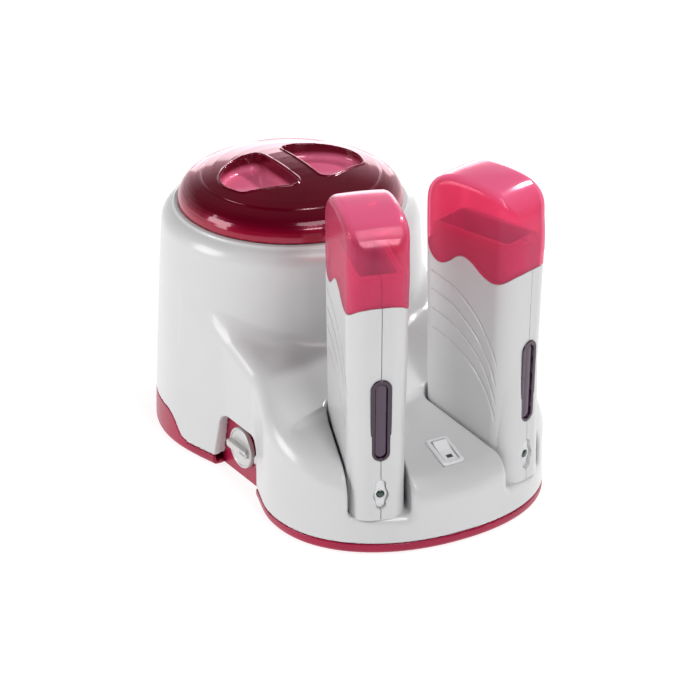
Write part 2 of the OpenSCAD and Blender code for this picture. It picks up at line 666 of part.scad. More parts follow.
module cap_body() difference() {
  intersection() {
    cap_dome(0);
    wave_volume(0.3);
  }
  cap_dome(cap_t);
}

module left_shell_outer() color(white) docked(-1) shell_half(1);
module left_shell_inner() color(white) docked(-1) shell_half(-1);
module left_window_bezel() color([0.2, 0.08, 0.2]) docked(-1) window_bezel();
module left_window_lens() color([0.45, 0.38, 0.45]) docked(-1) window_lens();
module left_lamp_insert() color(white) docked(-1) lamp_insert();
module left_lamp_lens() color([0.05, 0.15, 0.1]) docked(-1) lamp_lens();
module left_heating_sleeve() color(steel) docked(-1) heating_sleeve();
module left_heater_element() color([0.7, 0.5, 0.2]) docked(-1) heater_element();
module left_contact_plate() color(dark) docked(-1) contact_plate();
module left_shell_screws() color(steel) docked(-1) shell_screws();
module left_cap() color(pink) docked(-1) cap_body();

module right_shell_outer() color(white) docked(1) shell_half(1);
module right_shell_inner() color(white) docked(1) shell_half(-1);
module right_window_bezel() color([0.2, 0.08, 0.2]) docked(1) window_bezel();
module right_window_lens() color([0.45, 0.38, 0.45]) docked(1) window_lens();
module right_lamp_insert() color(white) docked(1) lamp_insert();
module right_lamp_lens() color([0.05, 0.15, 0.1]) docked(1) lamp_lens();
module right_heating_sleeve() color(steel) docked(1) heating_sleeve();
module right_heater_element() color([0.7, 0.5, 0.2]) docked(1) heater_element();
module right_contact_plate() color(dark) docked(1) contact_plate();
module right_shell_screws() color(steel) docked(1) shell_screws();
module right_cap() color(pink) docked(1) cap_body();

base_tray();
main_housing();
control_panel();
heater_well();
well_gasket();
heater_band();
insulation_sleeve();
thermostat_body();
thermostat_shaft();
thermostat_knob();
fuse_holder();
fuse_cap();
switch_bezel();
switch_body();
switch_rocker();
mains_inlet();
power_board();
mains_leads();
heater_leads();
rubber_feet();
base_screws();
left_dock_block();
right_dock_block();
left_dock_pins();
right_dock_pins();
wax_pot();
pot_lid();
left_shell_outer();
left_shell_inner();
left_window_bezel();
left_window_lens();
left_lamp_insert();
left_lamp_lens();
left_heating_sleeve();
left_heater_element();
left_contact_plate();
left_shell_screws();
left_cap();
right_shell_outer();
right_shell_inner();
right_window_bezel();
right_window_lens();
right_lamp_insert();
right_lamp_lens();
right_heating_sleeve();
right_heater_element();
right_contact_plate();
right_shell_screws();
right_cap();
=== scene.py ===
import json
import math
import time

import bpy
import numpy as np
from mathutils import Matrix, Vector


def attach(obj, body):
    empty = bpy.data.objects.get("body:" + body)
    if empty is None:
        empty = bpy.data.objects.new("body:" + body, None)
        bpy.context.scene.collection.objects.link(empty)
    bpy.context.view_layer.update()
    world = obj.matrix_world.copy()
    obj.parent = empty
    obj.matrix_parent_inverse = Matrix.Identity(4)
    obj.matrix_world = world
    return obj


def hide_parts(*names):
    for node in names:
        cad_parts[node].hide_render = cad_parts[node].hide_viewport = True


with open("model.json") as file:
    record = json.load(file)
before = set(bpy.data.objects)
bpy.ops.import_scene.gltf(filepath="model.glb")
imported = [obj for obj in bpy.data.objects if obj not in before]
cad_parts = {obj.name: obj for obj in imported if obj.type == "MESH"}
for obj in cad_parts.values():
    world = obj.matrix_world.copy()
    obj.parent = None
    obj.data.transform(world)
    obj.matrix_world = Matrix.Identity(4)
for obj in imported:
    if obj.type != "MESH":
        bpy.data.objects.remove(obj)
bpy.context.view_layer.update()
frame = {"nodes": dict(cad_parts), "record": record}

T0 = time.time()

# ------------------------------------------------------------------ sizes (mm)
POT_Y = 60.5
SPLAY = math.radians(17.8)
CS, SN = math.cos(SPLAY), math.sin(SPLAY)
DOCK_Z = 25.2
CX = 52.2 - SN * 34.6
CY = -133.8 + CS * 34.6
SLOPE = 0.337
COSA = 1 / math.hypot(1, SLOPE)


def plane_z(y):
    return 52.5 + SLOPE * (y + 125)


# ------------------------------------------------------------------ distance fields
def rmax(a, b, r):
    return np.minimum(np.maximum(a, b), -r) + np.hypot(np.maximum(a + r, 0), np.maximum(b + r, 0))


def rmin(a, b, r):
    return np.maximum(np.minimum(a, b), r) - np.hypot(np.maximum(r - a, 0), np.maximum(r - b, 0))


def smooth(x, a, b):
    t = np.clip((x - a) / (b - a), 0, 1)
    return t * t * (3 - 2 * t)


def seg_dist(x, y, pts, closed=False):
    """distance to a chain of straight pieces"""
    best = np.full(np.shape(x), 1e9)
    n = len(pts)
    for i in range(n if closed else n - 1):
        (ax, ay), (bx, by) = pts[i], pts[(i + 1) % n]
        ex, ey = bx - ax, by - ay
        L = ex * ex + ey * ey
        if L < 1e-12:
            continue
        px, py = x - ax, y - ay
        t = np.clip((px * ex + py * ey) / L, 0, 1)
        best = np.minimum(best, (px - t * ex) ** 2 + (py - t * ey) ** 2)
    return np.sqrt(best)


def poly_dist(x, y, pts):
    """signed distance to a closed outline, negative inside"""
    d = seg_dist(x, y, pts, True)
    inside = np.zeros(np.shape(x), bool)
    n = len(pts)
    for i in range(n):
        (ax, ay), (bx, by) = pts[i], pts[(i + 1) % n]
        if ay == by:
            continue
        hit = ((ay > y) != (by > y)) & (x < (bx - ax) * (y - ay) / (by - ay) + ax)
        inside ^= hit
    return np.where(inside, -d, d)


class Grid2:
    """a field over a plane, worked out once and then read between its points"""

    def __init__(self, fn, x0, x1, y0, y1, step):
        self.x0, self.y0, self.s = x0, y0, step
        self.nx = int(math.ceil((x1 - x0) / step)) + 2
        self.ny = int(math.ceil((y1 - y0) / step)) + 2
        X, Y = np.meshgrid(x0 + np.arange(self.nx) * step, y0 + np.arange(self.ny) * step, indexing="ij")
        self.v = fn(X, Y)

    def __call__(self, x, y):
        u = np.clip((x - self.x0) / self.s, 0, self.nx - 1.001)
        v = np.clip((y - self.y0) / self.s, 0, self.ny - 1.001)
        i = u.astype(int)
        j = v.astype(int)
        fu, fv = u - i, v - j
        V = self.v
        out = (V[i, j] * (1 - fu) + V[i + 1, j] * fu) * (1 - fv) + (V[i, j + 1] * (1 - fu) + V[i + 1, j + 1] * fu) * fv
        over = np.hypot(x - np.clip(x, self.x0, self.x0 + (self.nx - 1) * self.s), y - np.clip(y, self.y0, self.y0 + (self.ny - 1) * self.s))
        return out + over


def bezier(pts, n=10):
    """smooth chain through points (Catmull-Rom)"""
    p = [np.array(q, float) for q in pts]
    p = [2 * p[0] - p[1]] + p + [2 * p[-1] - p[-2]]
    out = []
    for i in range(1, len(p) - 2):
        for k in range(n):
            t = k / n
            out.append(0.5 * ((2 * p[i]) + (-p[i - 1] + p[i + 1]) * t + (2 * p[i - 1] - 5 * p[i] + 4 * p[i + 1] - p[i + 2]) * t * t
                              + (-p[i - 1] + 3 * p[i] - 3 * p[i + 1] + p[i + 2]) * t ** 3))
    out.append(p[-2])
    return [tuple(q) for q in out]


def skin(f, lo, hi, cell):
    """surface nets over the blocks that the surface passes through; returns points, quads, normals"""
    B = 8
    lo = np.array(lo, float) - cell * 1.373
    hi = np.array(hi, float) + cell * 1.211
    n = np.ceil((hi - lo) / (cell * B)).astype(int)
    ax = [lo[k] + (np.arange(n[k]) + 0.5) * B * cell for k in range(3)]
    C = np.stack(np.meshgrid(*ax, indexing="ij"), -1).reshape(-1, 3)
    d = f(C[:, 0], C[:, 1], C[:, 2])
    act = np.abs(d) < B * cell * 0.5 * 1.732 * 1.45 + 0.4
    bi = np.stack(np.meshgrid(*[np.arange(m) for m in n], indexing="ij"), -1).reshape(-1, 3)[act]
    base = lo + bi * B * cell
    g = np.arange(B + 1) * cell
    m = len(bi)
    F = np.empty((m, B + 1, B + 1, B + 1), np.float32)
    step = 1500
    for s in range(0, m, step):
        b = base[s:s + step]
        X = b[:, 0, None, None, None] + g[None, :, None, None] + 0 * g[None, None, :, None] + 0 * g[None, None, None, :]
        Y = b[:, 1, None, None, None] + 0 * g[None, :, None, None] + g[None, None, :, None] + 0 * g[None, None, None, :]
        Z = b[:, 2, None, None, None] + 0 * g[None, :, None, None] + 0 * g[None, None, :, None] + g[None, None, None, :]
        F[s:s + step] = f(X.ravel(), Y.ravel(), Z.ravel()).reshape(X.shape)
    S = F < 0
    c8 = np.zeros((m, B, B, B), np.uint8)
    for a in (0, 1):
        for b_ in (0, 1):
            for c in (0, 1):
                c8 += S[:, a:B + a, b_:B + b_, c:B + c]
    mix = (c8 > 0) & (c8 < 8)
    w = np.argwhere(mix)
    P = np.zeros((len(w), 3))
    cnt = np.zeros(len(w))
    corner = {}
    for a in (0, 1):
        for b_ in (0, 1):
            for c in (0, 1):
                corner[(a, b_, c)] = F[w[:, 0], w[:, 1] + a, w[:, 2] + b_, w[:, 3] + c].astype(float)
    for (a, b_, c), va in corner.items():
        for k in range(3):
            o = [a, b_, c]
            if o[k]:
                continue
            o[k] = 1
            vb = corner[tuple(o)]
            hit = (va < 0) != (vb < 0)
            t = np.where(hit, va / np.where(hit, va - vb, 1), 0)
            q = np.array([a, b_, c], float)[None, :].repeat(len(w), 0)
            q[:, k] = t
            P += np.where(hit[:, None], q, 0)
            cnt += hit
    P = P / cnt[:, None]
    P = base[w[:, 0]] + (w[:, 1:] + P) * cell
    N = n * B + 2
    gi = bi[w[:, 0]] * B + w[:, 1:] + 1
    ids = (gi[:, 0] * N[1] + gi[:, 1]) * N[2] + gi[:, 2]
    order = np.argsort(ids)
    sid = ids[order]
    quads = []
    for k in range(3):
        o = [0, 0, 0]
        o[k] = 1
        A = S[:, :B, :B, :B]
        Bv = S[:, o[0]:B + o[0], o[1]:B + o[1], o[2]:B + o[2]]
        e = np.argwhere(A != Bv)
        if not len(e):
            continue
        ins = A[e[:, 0], e[:, 1], e[:, 2], e[:, 3]]
        ge = bi[e[:, 0]] * B + e[:, 1:] + 1
        u, v = (k + 1) % 3, (k + 2) % 3
        ring = []
        for du, dv in ((-1, -1), (0, -1), (0, 0), (-1, 0)):
            q = ge.copy()
            q[:, u] += du
            q[:, v] += dv
            i = (q[:, 0] * N[1] + q[:, 1]) * N[2] + q[:, 2]
            j = np.clip(np.searchsorted(sid, i), 0, len(sid) - 1)
            ok = sid[j] == i
            ring.append(np.where(ok, order[j], -1))
        R = np.stack(ring, 1)
        good = (R >= 0).all(1)
        R, ins = R[good], ins[good]
        R[~ins] = R[~ins][:, ::-1]
        quads.append(R)
    Q = np.concatenate(quads)
    e = cell * 0.05

    def grad(P):
        G = np.empty_like(P)
        for k in range(3):
            a = P.copy()
            b = P.copy()
            a[:, k] += e
            b[:, k] -= e
            G[:, k] = (f(a[:, 0], a[:, 1], a[:, 2]) - f(b[:, 0], b[:, 1], b[:, 2])) / (2 * e)
        return G

    P0 = P.copy()
    for it in range(3):
        G = grad(P)
        v = f(P[:, 0], P[:, 1], P[:, 2])
        P = P - (v / np.maximum((G * G).sum(1), 0.2))[:, None] * G
        off = P - P0
        far = np.linalg.norm(off, axis=1)
        P = P0 + off * np.minimum(1, 0.75 * cell / np.maximum(far, 1e-9))[:, None]
    G = grad(P)
    G /= np.maximum(np.linalg.norm(G, axis=1), 1e-9)[:, None]
    used = np.unique(Q)
    remap = np.full(len(P), -1)
    remap[used] = np.arange(len(used))
    return P[used], remap[Q], G[used]


def piece(name, P, Q, Nrm, body, nodes, mat, place=None, flip=False):
    """points in mm to an object that rides on a body"""
    P = np.array(P, float)
    Nrm = None if Nrm is None else np.array(Nrm, float)
    if place is not None:
        P, Nrm = place(P, False), (None if Nrm is None else place(Nrm, True))
        if flip:
            Q = Q[:, ::-1]
    me = bpy.data.meshes.new(name)
    me.vertices.add(len(P))
    me.vertices.foreach_set("co", (P * 0.001).astype(np.float32).ravel())
    k = Q.shape[1]
    me.loops.add(len(Q) * k)
    me.loops.foreach_set("vertex_index", Q.astype(np.int32).ravel())
    me.polygons.add(len(Q))
    me.polygons.foreach_set("loop_start", np.arange(0, len(Q) * k, k, dtype=np.int32))
    me.polygons.foreach_set("use_smooth", np.ones(len(Q), bool))
    me.update(calc_edges=True)
    if Nrm is not None:
        me.normals_split_custom_set_from_vertices(Nrm.astype(np.float32))
    o = bpy.data.objects.new(name, me)
    bpy.context.scene.collection.objects.link(o)
    me.materials.append(mat)
    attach(o, body)
    if nodes:
        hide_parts(*nodes)
    return o


def docked(side):
    """places points of the handheld's own frame in its dock"""
    def go(P, normal):
        x, y, z = P[:, 0], P[:, 1], P[:, 2]
        X = CS * x - SN * y
        Y = SN * x + CS * y
        if not normal:
            X, Y, z = X + CX, Y + CY, z + DOCK_Z
        return np.stack([X * side, Y, z], 1)
    return go


def at_dock(X, Y, Z):
    """row coordinates to the handheld's own frame; both docks are alike, seen in a mirror"""
    dx, dy = np.abs(X) - CX, Y - CY
    return CS * dx + SN * dy, CS * dy - SN * dx, Z - DOCK_Z


# ------------------------------------------------------------------ station housing
BAND = bezier([(20, 8), (40, 8.0), (46.7, 8.2), (52, 10.6), (56, 14.4), (60.4, 19.0), (66.2, 22.2), (74, 23.0), (90, 23.2), (170, 23.2)], 4)
BAND_Y = np.array([p[0] for p in BAND])
BAND_Z = np.array([p[1] for p in BAND])
BAND_S = np.gradient(BAND_Z, BAND_Y)


def band_line(y):
    z = np.interp(y, BAND_Y, BAND_Z)
    return z, 1 / np.hypot(1, np.interp(y, BAND_Y, BAND_S))


def notch2(y, z):
    rear = np.maximum(y - 20, (y - 20) * 0.9826 + (z - 8) * 0.1857)
    return rmax(rmax(rear, z - 40.5, 7), -32 - y, 10)


def apron_side(x, y, inset=0.0):
    a, b, n = 91.6 - inset, 73.4 - inset, 2.14
    ax, ay = np.abs(x) + 1e-6, np.abs(y + 75.8) + 1e-6
    g = ((ax / a) ** n + (ay / b) ** n) ** (1 / n)
    gx = (ax / a) ** (n - 1) / a
    gy = (ay / b) ** (n - 1) / b
    return (g - 1) / np.maximum(np.hypot(gx, gy) * g ** (1 - n), 0.004)


def pot_side(x, y, z):
    r = np.hypot(x, y - POT_Y)
    R = np.interp(z, [0, 8, 32, 62, 92, 125, 134, 160], [88.5, 88.3, 87.7, 86.6, 85.4, 83.9, 83.3, 81.6])
    return r - R, r


def pocket(X, Y, Z):
    lx, ly, lz = at_dock(X, Y, Z)
    w = (35.8 + 2.6 + (0.0252 + 0.0045) * np.clip(lz, 0, 110)) / 2
    plan = rmax(np.abs(lx) - w, ly - 33.2 - 0.006 * np.clip(lz, 0, 90), 8.4)
    return rmax(plan, -lz, 3.5), ly


def house_outer(x, y, z, fill=9):
    side, r = pot_side(x, y, z)
    pot = rmax(side, z - 152.2, 11.4)
    top = (z - plane_z(y)) * COSA
    apron = rmax(apron_side(x, y), top, 13)
    waist = rmax(np.abs(x) - 79, top, 11)
    waist = np.maximum(waist, np.abs(y + 12) - 60)
    body = rmin(apron, waist, fill)
    body = rmin(body, pot, fill)
    p, ly = pocket(x, y, z)
    edge = 1.7 + 6.3 * smooth(-ly, 31, 44)
    return rmax(body, -p, edge)


def house(x, y, z):
    o = house_outer(x, y, z)
    _, r = pot_side(x, y, z)
    # small raised ring around the lid
    o = rmin(o, rmax(np.abs(r - 72.9) - 2.0, np.abs(z - 151.4) - 1.5, 0.7), 1.2)
    shell = rmax(o, -(house_outer(x, y, z, 0.5) + 3.0), 0.5)
    ledge = np.maximum(np.abs(r - 72.0) - 4.4, np.abs(z - 147.0) - 1.4)
    shell = np.minimum(shell, ledge)
    for sx, sy in ((-38.9, 131.2), (38.9, 131.2), (-71, -66), (71, -66), (0, -139.5)):
        boss = np.hypot(x - sx, y - sy) - 4
        shell = np.minimum(shell, np.maximum(np.maximum(boss, o + 1.2), (z - 40) if sy > 0 else -1e3))
    shell = np.maximum(shell, np.maximum(67.7 - r, -1e3) * (z > 140) + (z <= 140) * -1e3)
    shell = np.maximum(shell, np.where(z > 148.4, 70.7 - r, -1e3))
    n2 = notch2(y, z)
    shell = rmax(shell, -np.maximum(n2, x + 70), 0.8)
    jamb = np.maximum(rmax(n2 - 2.6, -n2, 0.6), np.abs(x + 76.0) - 2.6)
    jamb = np.maximum(jamb, 9.0 - z)
    shell = rmin(shell, jamb, 0.5)
    zb, cb = band_line(y)
    shell = rmax(shell, (zb + 0.25 - z) * cb, 0.7)
    u = x
    v = (y + 125) * COSA + (z - 52.5) * SLOPE * COSA
    w = (z - plane_z(y)) * COSA
    shell = np.maximum(shell, -np.maximum(np.maximum(np.abs(u) - 6.8, np.abs(v) - 10.6), np.abs(w) - 12))
    lx, ly, lz = at_dock(x, y, z)
    shell = np.maximum(shell, -np.maximum(np.maximum(np.abs(lx) - 6, np.abs(ly) - 15), np.abs(lz) - 8))
    return shell


# ------------------------------------------------------------------ tray
def tray_side(x, y, z):
    side, r = pot_side(x, y, np.full_like(z, 8.0))
    apron = apron_side(x, y)
    waist = np.maximum(np.abs(x) - 79, np.abs(y + 12) - 60)
    return rmin(rmin(apron, waist, 10), side, 9), r


def tray(x, y, z):
    s, r = tray_side(x, y, z)
    s = s + np.where(z > 8, (z - 8) * 0.0252, 0)
    zb, cb = band_line(y)
    zt = zb - 0.15
    solid = rmax(rmax(s, 1.2 - z, 3.2), (z - zt) * cb, 0.6)
    hollow = np.maximum(s + 3.2, 4.2 - z)
    out = rmax(solid, -hollow, 0.4)
    n2 = notch2(y, z) - 0.2
    out = rmax(out, -np.maximum(n2, x + 73.6), 0.5)
    out = np.maximum(out, -np.maximum(n2 - 2.4, np.abs(x + 72.3) - 1.4))
    for sx, sy in ((-38.9, 131.2), (38.9, 131.2), (-71, -66), (71, -66), (0, -139.5)):
        q = np.hypot(x - sx, y - sy)
        out = np.minimum(out, np.maximum(np.maximum(q - 4, z - 7.9), 3 - z))
        out = np.maximum(out, -np.maximum(q - 3.2, z - 2.6))
        out = np.maximum(out, 1.7 - q)
    for fx, fy_ in ((-52, 112), (52, 112), (-58, -106), (58, -106), (0, 20)):
        out = np.maximum(out, -np.maximum(np.hypot(x - fx, y - fy_) - 7.2, z - 2.2))
    out = np.maximum(out, -np.maximum(np.maximum(np.abs(x) - 11.2, np.abs(y - 145) - 10), np.abs(z - 13.5) - 6.7))
    out = np.maximum(out, -np.maximum(np.maximum(np.abs(x) - 13.6, 147.3 - y), np.abs(z - 13.5) - 8.7))
    for i in range(-3, 4):
        slot = rmax(np.abs(x - 9 * i) - 1.5, np.abs(y - 69) - 17, 1.4)
        out = np.maximum(out, -np.maximum(slot, z - 6))
    return out


# ------------------------------------------------------------------ lid
LID = [(0, 178.2), (10, 178.0), (20, 177.4), (30, 176.3), (40, 174.8), (50, 172.8), (55.2, 171.4), (56.9, 170.9), (57.3, 170.2), (58.4, 169.6),
       (60.4, 169.0)]
LID += [(57.5 + 14.5 * math.cos(math.radians(a)), 154.6 + 14.5 * math.sin(math.radians(a))) for a in (72, 62, 52, 42, 32, 22, 12, 4)]
LID += [(72.0, 155.0), (72.0, 153.6), (71.4, 153.3), (69.4, 153.3), (68.6, 152.8), (66.4, 152.8), (66.4, 155), (65.6, 160), (60.5, 165.2), (55, 168.4),
        (48, 170.4), (36, 172.6), (24, 174.2), (0, 175.4)]
LID_DOME = [(0, 178.2), (10, 178.0), (20, 177.4), (30, 176.3), (40, 174.8), (50, 172.8), (57.2, 170.8), (57.2, 100), (-60, 100), (-60, 178.2)]
SCOOP = [(14, -21), (14, 22)] + [(42 * math.cos(math.radians(t)) + 0.5, 26 * math.sin(math.radians(t)) - 1) for t in range(64, -9, -8)] + [(40, -11)]
lid_grid = Grid2(lambda r, z: poly_dist(r, z, LID + [(-8, 175.4), (-8, 178.2)]), 0, 76, 140, 182, 0.25)
dome_grid = Grid2(lambda r, z: poly_dist(r, z, LID_DOME), 0, 76, 140, 182, 0.25)
scoop_grid = Grid2(lambda a, b: poly_dist(a, b, SCOOP) - 7, -2, 76, -76, 76, 0.3)


def lid(x, y, z):
    yy = y - POT_Y
    r = np.hypot(x, yy)
    body = lid_grid(r, z) + 0.0
    dome = dome_grid(r, z)
    s2 = scoop_grid(np.abs(x), yy)
    skirt = np.maximum(np.abs(r - 59.7) - 0.9, np.abs(z - 158.2) - 8.7)
    body = np.minimum(body, skirt)
    cup = np.maximum(np.maximum(s2 - 1.6, 163.5 - z), dome)
    floor = 165.0 + 0.4 * smooth(np.abs(x), 20, 50)
    body = np.minimum(body, cup)
    cut = rmax(s2, floor - z, 3.6)
    body = rmax(body, -cut, 0.5)
    bead = np.hypot(s2 + 0.1, dome * 1.0 + 0.2) - 0.95
    return rmin(body, bead, 0.4)


# ------------------------------------------------------------------ handheld
WAVE = bezier([(-70, 144.8), (-44, 144.8), (-38, 142.2), (-32, 137.9), (-27, 136.1), (-21, 136.4), (-14, 139.7), (-8.5, 144.0), (-3, 146.8),
               (1.5, 147.0), (6, 144.8), (10.2, 141.2), (15.9, 138.2), (20, 138.3), (23.5, 140.6), (26.8, 145.0), (31, 149.4), (36, 151.6), (70, 153)], 6)
wave_grid = Grid2(lambda y, h: poly_dist(y, h, WAVE + [(70, 300), (-70, 300)]), -60, 60, 100, 215, 0.3)
ARCS = [bezier([(-27.4, 1.0), (-27.6, 12), (-27.3, 26), (-26.1, 40.7), (-22.5, 54), (-15, 67.5), (-3, 79.5), (10, 87.3), (23.8, 92.2)], 8),
        bezier([(-26.4, 54.0), (-21.5, 68.5), (-12.5, 83), (0, 94.5), (12, 101.2), (23.8, 105.0)], 8),
        bezier([(-26.6, 66.5), (-22.5, 79), (-14, 93), (-3, 104.5), (10, 113.3), (23.8, 118.1)], 8),
        bezier([(-28.1, 73.2), (-26.5, 83), (-20, 98), (-9, 112.3), (6, 124.2), (23.8, 130.8)], 8)]


def arcs_field(y, h):
    d = np.full(y.shape, 1e9)
    for a in ARCS:
        d = np.minimum(d, seg_dist(y, h, a))
    return d


arc_grid = Grid2(arcs_field, -45, 36, -4, 150, 0.3)
ARCH = bezier([(-40.4, 150), (-40.5, 160), (-40.3, 168), (-39.6, 175), (-37.8, 181), (-34.5, 186.5), (-29.5, 191.6), (-23, 195.2), (-13, 197.4), (0, 198.0), (10, 197.5),
               (18, 195.6), (24.5, 192), (29, 186.5), (31.0, 180), (31.5, 172), (31.5, 150)], 5)
arch_grid = Grid2(lambda y, h: poly_dist(y, h, ARCH + [(31.5, -100), (-40.4, -100)]), -60, 55, 130, 215, 0.4)


def hw(h):
    return (35.8 + 0.0252 * np.clip(h, 0, 160)) / 2


def fy(h):
    return 34.6 + 0.0361 * np.clip(h, 0, 160)


def by(h):
    return 31.1 + 0.0022 * np.clip(h, 0, 160)


def corner(y):
    return 7 + 7.5 * smooth(-y, -4, 26)


def body_side(x, y, h):
    return rmax(np.abs(x) - hw(h), np.maximum(-fy(h) - y, y - by(h)), corner(y))


def hand_shell(x, y, h):
    """half of the handheld's shell, x >= 0"""
    s = body_side(x, y, h)
    body = rmax(s, -h, 4.0)
    below = -wave_grid(y, h)
    wide = rmax(body, below, 0.5)
    neck = rmax(rmax(np.abs(x) - 17, np.maximum(-37.6 - y, y - 28.9), 6 + 6 * smooth(-y, 0, 24)), h - 161.5, 2.6)
    out = np.minimum(wide, neck)
    hollow = rmax(np.maximum(s + 2.2, h - 132), 2.2 - h, 2)
    out = np.maximum(out, -hollow)
    slot = rmax(np.abs(x) - 11.8, np.abs(y + 2) - 27.6, 2.2)
    out = rmax(out, -np.maximum(slot, 131 - h), 0.9)
    # arcs cut into the broad side
    groove = np.hypot(np.minimum(arc_grid(y, h), 9), x - hw(h)) - 0.72
    out = rmax(out, -groove, 0.15)
    # window, lamp and contact openings
    w = -(y + fy(h))
    v = np.abs(h - 66.7)
    win = np.hypot(x, np.maximum(v - 21.5, 0)) - 5.6
    out = rmax(out, -np.maximum(win, -w - 6), 0.3)
    out = np.maximum(out, -np.maximum(np.hypot(x, h - 16.5) - 2.65, -w - 6))
    key = rmin(np.hypot(x, np.maximum(np.abs(h - 16.8) - 6.9, 0)) - 3.1, np.hypot(x, h - 16.5) - 4.7, 1.5)
    out = rmax(out, -np.maximum(key, -w - 1.3), 0.2)
    out = np.maximum(out, -np.maximum(np.maximum(x - 6.6, np.abs(y) - 15.6), h - 4))
    return rmax(out, 0.12 - x, 0.35)


def cap(x, y, h):
    hh = h + 0.0022 * x * x * smooth(h, 165, 190)
    c = corner(y)
    d = rmax(np.abs(x) - hw(h), np.where(h > 152, arch_grid(y, hh), np.maximum(-fy(h) - y, y - by(h))), c + (6.0 - c) * smooth(h, 172, 190))
    shell = np.maximum(d, -(d + 1.9))
    return rmax(shell, wave_grid(y, h) + 0.25, 0.45)


# ------------------------------------------------------------------ small parts of the handheld's front
def on_front(x, y, h, h0):
    return x, h - h0, -(y + fy(h))


def stadium(u, v, w, l):
    return np.hypot(u, np.maximum(np.abs(v) - (l - w) / 2, 0)) - w / 2


def window_bezel(x, y, h):
    u, v, w = on_front(x, y, h, 66.7)
    s = stadium(u, v, 13.6, 56.8)
    i = stadium(u, v, 7.7, 50.8)
    top = rmax(rmax(s, w - 0.9, 0.7), -w + 0.04, 0.1)
    low = np.maximum(stadium(u, v, 10.9, 54.0), np.abs(w + 0.9) - 1.2)
    return rmax(np.minimum(top, low), -i, 0.5)


def window_lens(x, y, h):
    u, v, w = on_front(x, y, h, 66.7)
    s = stadium(u, v, 7.5, 50.6)
    crown = w - 0.15 + 0.6 * np.clip((s + 3.75) / 3.75, 0, 1.2) ** 2 * 1.0
    return rmax(rmax(s, crown, 0.5), -w - 2.0, 0.3)


def lamp_insert(x, y, h):
    u, v, w = on_front(x, y, h, 16.8)
    key = rmin(stadium(u, v, 5.9, 19.8), np.hypot(u, v + 0.3) - 4.45, 1.5)
    d = rmax(rmax(key, w - 0.35, 0.5), -w - 1.25, 0.2)
    ring = rmax(np.abs(np.hypot(u, v + 0.3) - 3.2) - 0.55, np.abs(w - 0.3) - 0.5, 0.3)
    d = rmin(d, ring, 0.3)
    return np.maximum(d, 2.66 - np.hypot(u, v + 0.3))


def lamp_lens(x, y, h):
    u, v, w = on_front(x, y, h, 16.5)
    r = np.hypot(u, v)
    dome = np.sqrt(r * r + (w + 1.9) ** 2) - 3.15
    return np.maximum(np.maximum(rmax(r - 2.5, np.abs(w + 1.6) - 3.0, 0.3), dome), -w - 4.5)


# ------------------------------------------------------------------ controls
def knob(x, y, z):
    """axis along -X from the panel"""
    w = -x - 74.6
    u, v = y + 7, z - 24.2
    r = np.hypot(u, v)
    disc = rmax(rmax(r - 13.4, w - 3.4, 1.1), -w, 0.4)
    dish = rmax(r - 11.9, 2.7 - w, 0.8)
    disc = rmax(disc, -dish, 0.4)
    grip = rmax(rmax(np.abs(v) - 2.9 + 0.0009 * u * u, np.abs(u) - 12.3, 2.0), np.abs(w - 3.3) - 3.3, 1.5)
    grip = np.maximum(grip, r - 12.6)
    d = rmin(disc, grip, 0.8)
    mark = rmax(np.abs(v) - 0.55, np.abs(u + 8.2) - 3.0, 0.5)
    d = np.maximum(d, -np.maximum(mark, 6.1 - w))
    return np.maximum(d, -np.maximum(r - 2.6, w - 4.5))


def fuse_cap(x, y, z):
    w = -x - 73.7
    u, v = y + 26.3, z - 21.6
    r = np.hypot(u, v)
    d = rmax(rmax(r - 5.0, w - 2.6, 0.7), -w, 0.2)
    slot = rmax(np.abs(u * 0.7 + v * 0.714) - 0.6, 1.6 - w, 0.2)
    return rmax(d, -slot, 0.2)


def switch_frame(x, y, z):
    """the switch's own axes: across, up the slope, out of it"""
    v = (y + 125) * COSA + (z - 52.5) * SLOPE * COSA
    w = (z - 52.5) * COSA - (y + 125) * SLOPE * COSA
    return x, v, w


def bezel(x, y, z):
    u, v, w = switch_frame(x, y, z)
    plan = rmax(np.abs(u) - 8, np.abs(v) - 11.7, 2.2)
    d = rmax(rmax(plan, w - 1.9, 1.2), 0.12 - w, 0.1)
    inner = rmax(np.abs(u) - 5.3, np.abs(v) - 9.1, 0.8)
    low = np.maximum(rmax(np.abs(u) - 6.5, np.abs(v) - 10.3, 1), np.abs(w + 1.5) - 2.4)
    return rmax(np.minimum(d, low), -inner, 0.5)


def rocker(x, y, z):
    u, v, w = switch_frame(x, y, z)
    # ends and underside follow the tilted paddle, so they clear the frame in both positions
    a = math.radians(7)
    p = v * math.cos(a) + (w + 3.4) * math.sin(a)
    q = (w + 3.4) * math.cos(a) - v * math.sin(a)
    w = w - 0.6
    # front end pressed down, rear end up; two faces that meet in a shallow valley
    valley = np.where(v > 0, w - 0.9 - math.tan(math.radians(13)) * v, w - 0.9 - math.tan(math.radians(1.0)) * v)
    side = rmax(np.abs(u) - 4.9, np.abs(p) - 8.3, 0.7)
    return rmax(rmax(side, valley * 0.97, 0.7), -q - 0.5, 0.3)


# ------------------------------------------------------------------ materials
def lin(r, g, b):
    out = []
    for v in (r, g, b):
        v = v / 255
        out.append(v / 12.92 if v <= 0.04045 else ((v + 0.055) / 1.055) ** 2.4)
    return out


